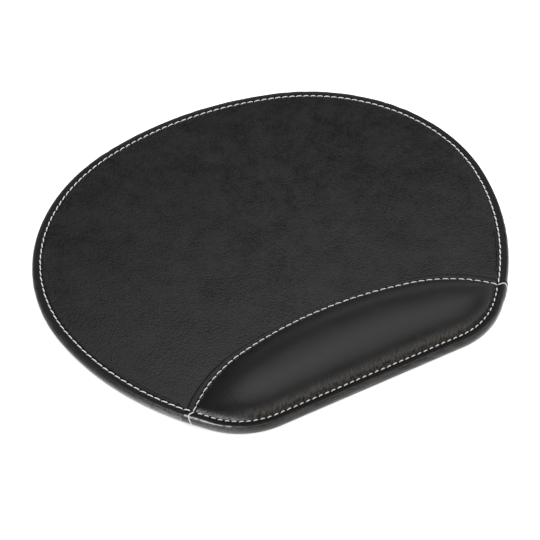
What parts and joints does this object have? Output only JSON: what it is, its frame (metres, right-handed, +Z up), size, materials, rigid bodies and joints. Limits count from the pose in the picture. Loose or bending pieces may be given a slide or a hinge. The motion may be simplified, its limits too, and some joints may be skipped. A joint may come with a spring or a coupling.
{
  "type": "mouse pad",
  "caption": "Round-backed leather mouse pad with a padded wrist rest along its straight front edge and a pale stitched border.",
  "frame": {"origin": "middle of the underside's bounding rectangle, on the desk surface", "axes": "+X to the user's right, along the straight front edge; +Y away from the user, from the wrist rest to the rear; +Z up from the desk"},
  "size_m": [0.251, 0.224, 0.0196],
  "materials": {
    "base_backing": "matt napped synthetic backing",
    "board": "plain grey board",
    "foam": "closed-cell foam sheet",
    "panel_leather": "matt fine-grained synthetic leather",
    "cushion_foam": "open-cell foam",
    "cover_leather": "smooth semi-gloss synthetic leather",
    "thread": "off-white twisted sewing thread"
  },
  "bodies": {
    "root": {"non_slip_base": "base_backing", "stiffener_board": "board", "foam_sheet": "foam", "mousing_panel": "panel_leather", "wrist_cushion": "cushion_foam", "wrist_cover": "cover_leather", "seam_thread": "thread", "seam_bobbin_thread": "thread", "edge_thread_rear": "thread", "edge_thread_front": "thread", "edge_bobbin_rear": "thread", "edge_bobbin_front": "thread"}
  },
  "joints": []
}
